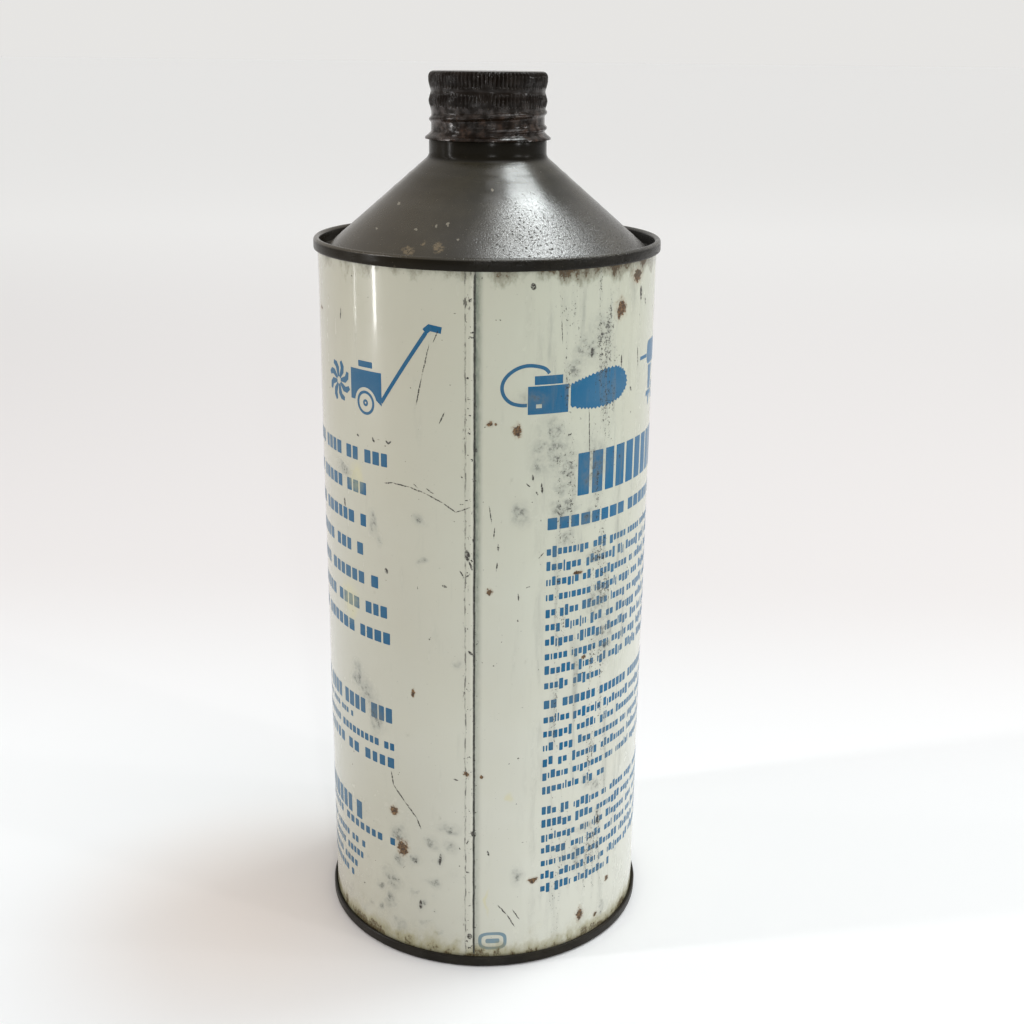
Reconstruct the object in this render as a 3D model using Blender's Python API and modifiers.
"""Cone-top one-quart motor oil can: a soldered three-piece tinplate can with a screw cap.

Metres, +Z up. The origin is the centre of the base, on the surface the can stands on.
The side seam of the body faces -Y.

The can is three stampings joined by two double seams: a rolled body with a lock side seam,
a flat bottom end and a cone-shaped top end with a threaded neck. The screw cap holds a
pulpboard liner with a foil facing, which seals on the hemmed lip of the neck.
"""

import math

import bmesh
import bpy
from mathutils import Vector

MM = 0.001
STEPS = 40  # facets around every turned piece; one corner of each ring lies on -Y

# --- driving dimensions, in millimetres -------------------------------------------------
SEAM_R = 43.66  # outside radius of both double seams (size 307: 3 7/16 in across)
BODY_H = 185.8  # height over both double seams
SEAM_H = 3.0  # length of a double seam
END_T = 0.28  # tinplate of the two ends
BODY_T = 0.25  # tinplate of the body
CAP_T = 0.25  # tinplate of the cap
GAP = 0.08  # room between the layers of a seam

SINK_Z = 182.35  # centreline of the countersink floor round the cone
CONE_R0, CONE_Z0 = 40.51, 182.79  # foot of the cone, on the centreline of its sheet
CONE_R1, CONE_Z1 = 14.40, 205.10  # top of the cone, where the collar of the neck begins
NECK_R = 12.66  # centreline radius of the threaded part of the neck
NECK_TOP = 223.85  # sealing lip of the neck
SHOULDER_Z = 209.30  # where the collar turns in to the threaded part

CAP_TOP = 225.20
CAP_BOTTOM = 209.20
CAP_R = 14.60  # outside of the two knurled bands
LINER_R = 13.45

PITCH = 3.6  # lead of the screw thread
NECK_BEAD_R, CAP_BEAD_R = 12.98, 13.55  # radius of the thread's centreline
BEAD = 0.42  # radius of the rolled thread's section
NECK_BEAD_Z = 212.60  # lower end of the neck's thread
THREAD_DROP = 0.90  # how far the cap's thread lies below the neck's, when closed
NECK_TURNS, CAP_TURNS = 1.6, 1.15

# --- radii of the seam's layers, from outside to inside, on each sheet's centreline ------
WALL_C = SEAM_R - END_T / 2  # seaming wall of the end
HOOK_C = WALL_C - END_T / 2 - GAP - BODY_T / 2  # body hook
COVER_C = HOOK_C - BODY_T / 2 - GAP - END_T / 2  # cover hook
BODY_C = COVER_C - END_T / 2 - GAP - BODY_T / 2  # body wall
CHUCK_C = BODY_C - BODY_T / 2 - GAP - END_T / 2  # chuck wall of the end
BODY_R = BODY_C + BODY_T / 2
ARCH_R = (WALL_C - CHUCK_C) / 2  # centreline radius of the seam's rounded top
FLAT = math.cos(math.radians(18))  # an arc of five facets has its middle one flat, this far out
ARCH_Z = ARCH_R * FLAT + END_T / 2  # depth of that arc's centre below the seam's top
CURL_R = (WALL_C - COVER_C) / 2
CURL_Z = SEAM_H - CURL_R - END_T / 2
BEND_R = (HOOK_C - BODY_C) / 2
BEND_Z = ARCH_Z + 0.07


def clear_scene():
    for obj in list(bpy.data.objects):
        bpy.data.objects.remove(obj, do_unlink=True)


def collection(name):
    made = bpy.data.collections.new(name)
    bpy.context.scene.collection.children.link(made)
    return made


def material(name, colour, roughness, metallic):
    made = bpy.data.materials.new(name)
    made.use_nodes = True
    shader = made.node_tree.nodes["Principled BSDF"]
    shader.inputs["Base Color"].default_value = (*colour, 1.0)
    shader.inputs["Roughness"].default_value = roughness
    shader.inputs["Metallic"].default_value = metallic
    return made


def arc(cr, cz, radius, start, end, count):
    """Points on an arc in the (radius, height) plane, angles in degrees."""
    return [
        (
            cr + radius * math.cos(math.radians(start + (end - start) * i / count)),
            cz + radius * math.sin(math.radians(start + (end - start) * i / count)),
        )
        for i in range(count + 1)
    ]


def fillet(before, corner, after, radius, count):
    """The rounded corner between two straight runs, as points on its arc."""
    p, a, b = Vector(corner), Vector(before), Vector(after)
    u, v = (a - p).normalized(), (b - p).normalized()
    half = u.angle(v) / 2
    centre = p + (u + v).normalized() * (radius / math.sin(half))
    reach = radius / math.tan(half)
    start, end = p + u * reach - centre, p + v * reach - centre
    turn = start.angle_signed(end)
    made = []
    for i in range(count + 1):
        angle = -turn * i / count
        c, s = math.cos(angle), math.sin(angle)
        made.append(
            (
                centre.x + start.x * c - start.y * s,
                centre.y + start.x * s + start.y * c,
            )
        )
    return made


def sheet_outline(path, thickness):
    """The closed outline of sheet metal bent along a path: its left side, then its right side back."""
    points = [Vector(p) for p in path]
    left, right = [], []
    for i, p in enumerate(points):
        before = (p - points[i - 1]).normalized() if i else None
        after = (points[i + 1] - p).normalized() if i + 1 < len(points) else None
        if before is None or after is None:
            along = after or before
            normal, scale = Vector((-along.y, along.x)), 1.0
        else:
            n0, n1 = Vector((-before.y, before.x)), Vector((-after.y, after.x))
            normal = (n0 + n1).normalized()
            scale = 1 / max(0.5, normal.dot(n0))
        offset = normal * (scale * thickness / 2)
        left.append(p + offset)
        right.append(p - offset)
    return [tuple(p) for p in left] + [tuple(p) for p in reversed(right)]


def area(outline):
    return 0.5 * sum(
        a[0] * b[1] - b[0] * a[1] for a, b in zip(outline, outline[1:] + outline[:1])
    )


def turned(name, outline, into, mat, closed=True):
    """A piece of revolution about Z from its outline in millimetres, as a profile with a Screw."""
    # an outline that runs clockwise seen with +Z up goes down its outer side
    points = list(outline)
    if area(points) > 0:
        points.reverse()
    if not closed:  # it starts and ends on the axis
        while points[0][0] > 1e-9 or points[-1][0] > 1e-9:
            points.append(points.pop(0))
    mesh = bpy.data.meshes.new(name)
    edges = [(i, i + 1) for i in range(len(points) - 1)]
    if closed:
        edges.append((len(points) - 1, 0))
    mesh.from_pydata([(r * MM, 0, z * MM) for r, z in points], edges, [])
    obj = bpy.data.objects.new(name, mesh)
    into.objects.link(obj)
    screw = obj.modifiers.new("turn", "SCREW")
    screw.axis = "Z"
    screw.angle = math.tau
    screw.steps = screw.render_steps = STEPS
    screw.use_merge_vertices = True
    screw.merge_threshold = 0.00001
    screw.use_smooth_shade = False
    mesh.materials.append(mat)
    return obj


def as_mesh(obj, into, mat):
    """The evaluated object as a plain mesh object in its place, welded; the original is removed."""
    bpy.context.view_layer.update()
    graph = bpy.context.evaluated_depsgraph_get()
    evaluated = obj.evaluated_get(graph)
    mesh = bpy.data.meshes.new_from_object(evaluated)
    name, matrix = obj.name, obj.matrix_world.copy()
    bpy.data.objects.remove(obj, do_unlink=True)
    mesh.name = name
    bm = bmesh.new()
    bm.from_mesh(mesh)
    bmesh.ops.remove_doubles(bm, verts=bm.verts, dist=1e-6)
    bmesh.ops.recalc_face_normals(bm, faces=bm.faces)
    bm.to_mesh(mesh)
    bm.free()
    made = bpy.data.objects.new(name, mesh)
    made.matrix_world = matrix
    into.objects.link(made)
    mesh.materials.clear()
    mesh.materials.append(mat)
    return made


def block(name, low, high, into):
    """A box between two corners given in millimetres."""
    mesh = bpy.data.meshes.new(name)
    bm = bmesh.new()
    bmesh.ops.create_cube(bm, size=1.0)
    size = [(h - l) * MM for l, h in zip(low, high)]
    centre = [(h + l) / 2 * MM for l, h in zip(low, high)]
    bmesh.ops.scale(bm, vec=size, verts=bm.verts)
    bmesh.ops.translate(bm, vec=centre, verts=bm.verts)
    bm.to_mesh(mesh)
    bm.free()
    obj = bpy.data.objects.new(name, mesh)
    into.objects.link(obj)
    return obj


def helper(obj):
    obj.hide_render = True
    obj.display_type = "WIRE"
    return obj


def boolean(obj, other, operation):
    modifier = obj.modifiers.new(operation.lower() + "_" + other.name, "BOOLEAN")
    modifier.operation = operation
    modifier.solver = "EXACT"
    modifier.object = other


def thread_bead(name, radius, z_low, turns, start, into, mat):
    """A rolled right-hand thread: a round bead along a helix that rises one pitch a turn."""
    per_turn = 30
    count = round(turns * per_turn)
    curve = bpy.data.curves.new(name, "CURVE")
    curve.dimensions = "3D"
    curve.bevel_depth = BEAD * MM
    curve.bevel_resolution = 2
    curve.use_fill_caps = True
    spline = curve.splines.new("POLY")
    spline.points.add(count)
    for i, point in enumerate(spline.points):
        angle = start + math.tau * i / per_turn
        z = z_low + PITCH * i / per_turn
        point.co = (
            radius * math.cos(angle) * MM,
            radius * math.sin(angle) * MM,
            z * MM,
            1.0,
        )
    obj = bpy.data.objects.new(name, curve)
    into.objects.link(obj)
    return helper(as_mesh(obj, into, mat))


def seam_path(flip):
    """Centreline of an end's sheet from its cover hook, round the seam, to the chuck wall.

    flip maps a depth below the seam's outer edge to a height."""
    path = [(COVER_C, flip(BEND_Z + 0.50))]
    path += [(r, flip(z)) for r, z in arc(HOOK_C, CURL_Z, CURL_R, 180, 0, 4)]
    path += [(r, flip(z)) for r, z in arc(COVER_C, ARCH_Z, ARCH_R, 0, -180, 5)]
    return path


def body_outline(top, bottom):
    """The rolled sheet: a hook at each end, folded outwards round the cover hook."""
    path = [(HOOK_C, top(CURL_Z - 0.02))]
    path += [(r, top(z)) for r, z in arc(COVER_C, BEND_Z, BEND_R, 0, -180, 4)]
    path += [(r, bottom(z)) for r, z in arc(COVER_C, BEND_Z, BEND_R, -180, 0, 4)]
    path += [(HOOK_C, bottom(CURL_Z - 0.02))]
    return sheet_outline(path, BODY_T)


def cone_outline(top):
    sink = [
        (CHUCK_C, SINK_Z),
        (CONE_R0 + 0.50, SINK_Z),
        (CONE_R1, CONE_Z1),
        (CONE_R1, SHOULDER_Z),
        (NECK_R, SHOULDER_Z + 0.55),
        (NECK_R, NECK_TOP),
    ]
    path = seam_path(top)
    path += fillet(path[-1], sink[0], sink[1], 0.45, 3)
    path += fillet(sink[0], sink[1], sink[2], 0.60, 2)
    path += fillet(sink[1], sink[2], sink[3], 1.20, 3)
    path += fillet(sink[2], sink[3], sink[4], 0.50, 2)
    path += fillet(sink[3], sink[4], sink[5], 0.40, 2)
    # the lip is hemmed inwards
    hem = 0.30
    centre_z = NECK_TOP - END_T / 2 - hem * FLAT
    path += arc(NECK_R - hem, centre_z, hem, 0, 180, 5)
    path += [(NECK_R - 2 * hem, centre_z - 0.8)]
    return sheet_outline(path, END_T)


def bottom_outline(bottom):
    """The flat end: a deep countersink and two expansion rings round a flat centre panel."""
    corners = [
        (CHUCK_C, 4.05),
        (39.9, 4.05),
        (39.2, 3.25),
        (33.2, 3.25),
        (32.5, 3.95),
        (26.2, 3.95),
        (25.5, 3.40),
        (0.0, 3.40),
    ]
    path = seam_path(bottom)
    path += fillet(path[-1], corners[0], corners[1], 0.45, 3)
    for before, corner, after in zip(corners, corners[1:], corners[2:]):
        path += fillet(before, corner, after, 0.25, 1)
    path += [corners[-1]]
    return sheet_outline(path, END_T)


def cap_outline():
    """The drawn cap: flat top, two knurled bands, a thread zone and a flared, curled foot."""
    t = CAP_T / 2
    outer = CAP_R - t
    corners = [
        (0.0, CAP_TOP - t),
        (outer, CAP_TOP - t),
        (outer, 221.75),
        (14.15 - t, 221.15),
        (14.15 - t, 220.55),
        (outer, 219.90),
        (outer, 217.30),
        (14.02 - t, 216.20),
        (14.02 - t, 210.95),
        (14.70 - t, 210.30),
        (15.50 - t, 209.60),
    ]
    path = [corners[0]]
    path += fillet(corners[0], corners[1], corners[2], 0.95, 3)
    path += corners[2:]
    path += [(15.55 - t, CAP_BOTTOM + 0.02)]
    return sheet_outline(path, CAP_T)


def main():
    clear_scene()
    parts = collection("motor_oil_can")
    tools = collection("cutters")

    litho = material("litho_tinplate", (0.63, 0.62, 0.53), 0.32, 0.0)
    dark = material("dark_tinplate", (0.065, 0.055, 0.040), 0.34, 0.75)
    capm = material("cap_tinplate", (0.050, 0.038, 0.032), 0.38, 0.70)
    solder = material("solder", (0.20, 0.21, 0.19), 0.45, 0.85)
    compound = material("sealing_compound", (0.10, 0.09, 0.08), 0.80, 0.0)
    board = material("pulpboard", (0.42, 0.31, 0.19), 0.90, 0.0)
    foil = material("foil", (0.62, 0.60, 0.56), 0.30, 0.90)

    top = lambda depth: BODY_H - depth
    bottom = lambda depth: depth

    # the body: the rolled wall, its lock seam folded flat on the inside, and the groove outside
    body = turned("can_body", body_outline(top, bottom), parts, litho)
    lock = helper(
        block("lock_seam", (-1.75, -BODY_C + 0.02, 4.9), (1.75, -41.45, 181.5), tools)
    )
    groove = helper(
        block("seam_groove", (-0.40, -43.4, 3.45), (0.40, -BODY_R + 0.15, 182.35), tools)
    )
    boolean(body, lock, "UNION")
    boolean(body, groove, "DIFFERENCE")

    strip = block(
        "side_seam_solder", (-0.30, -BODY_R + 0.02, 3.55), (0.30, -BODY_R + 0.11, 182.25), parts
    )
    strip.data.materials.append(solder)

    # the two ends
    cone = turned("cone_top", cone_outline(top), parts, dark)
    bead = thread_bead(
        "neck_thread", NECK_BEAD_R, NECK_BEAD_Z, NECK_TURNS, 0.0, tools, dark
    )
    boolean(cone, bead, "UNION")
    turned("bottom_end", bottom_outline(bottom), parts, dark, closed=False)

    # a ring of sealing compound in each seam, between the cover hook and the body's bend
    for name, at in (("top_seam_compound", top), ("bottom_seam_compound", bottom)):
        half, low, high = 0.15, BEND_Z + 0.44, BEND_Z - 0.06
        ring = [
            (COVER_C - half, at(low)),
            (COVER_C + half, at(low)),
            (COVER_C + half, at(high)),
            (COVER_C - half, at(high)),
        ]
        turned(name, ring, parts, compound)

    # the cap, with its thread one drop below the neck's, and its two-layer liner
    cap = turned("screw_cap", cap_outline(), parts, capm, closed=False)
    lag = math.tau * (NECK_BEAD_Z - THREAD_DROP - 211.60) / PITCH
    cap_bead = thread_bead(
        "cap_thread", CAP_BEAD_R, 211.60, CAP_TURNS, -lag, tools, capm
    )
    boolean(cap, cap_bead, "UNION")
    for name, z_low, z_high, mat in (
        ("cap_liner_board", 224.10, 224.90, board),
        ("cap_liner_facing", 223.96, 224.05, foil),
    ):
        disc = [(0, z_high), (LINER_R, z_high), (LINER_R, z_low), (0, z_low)]
        turned(name, disc, parts, mat, closed=False)


main()
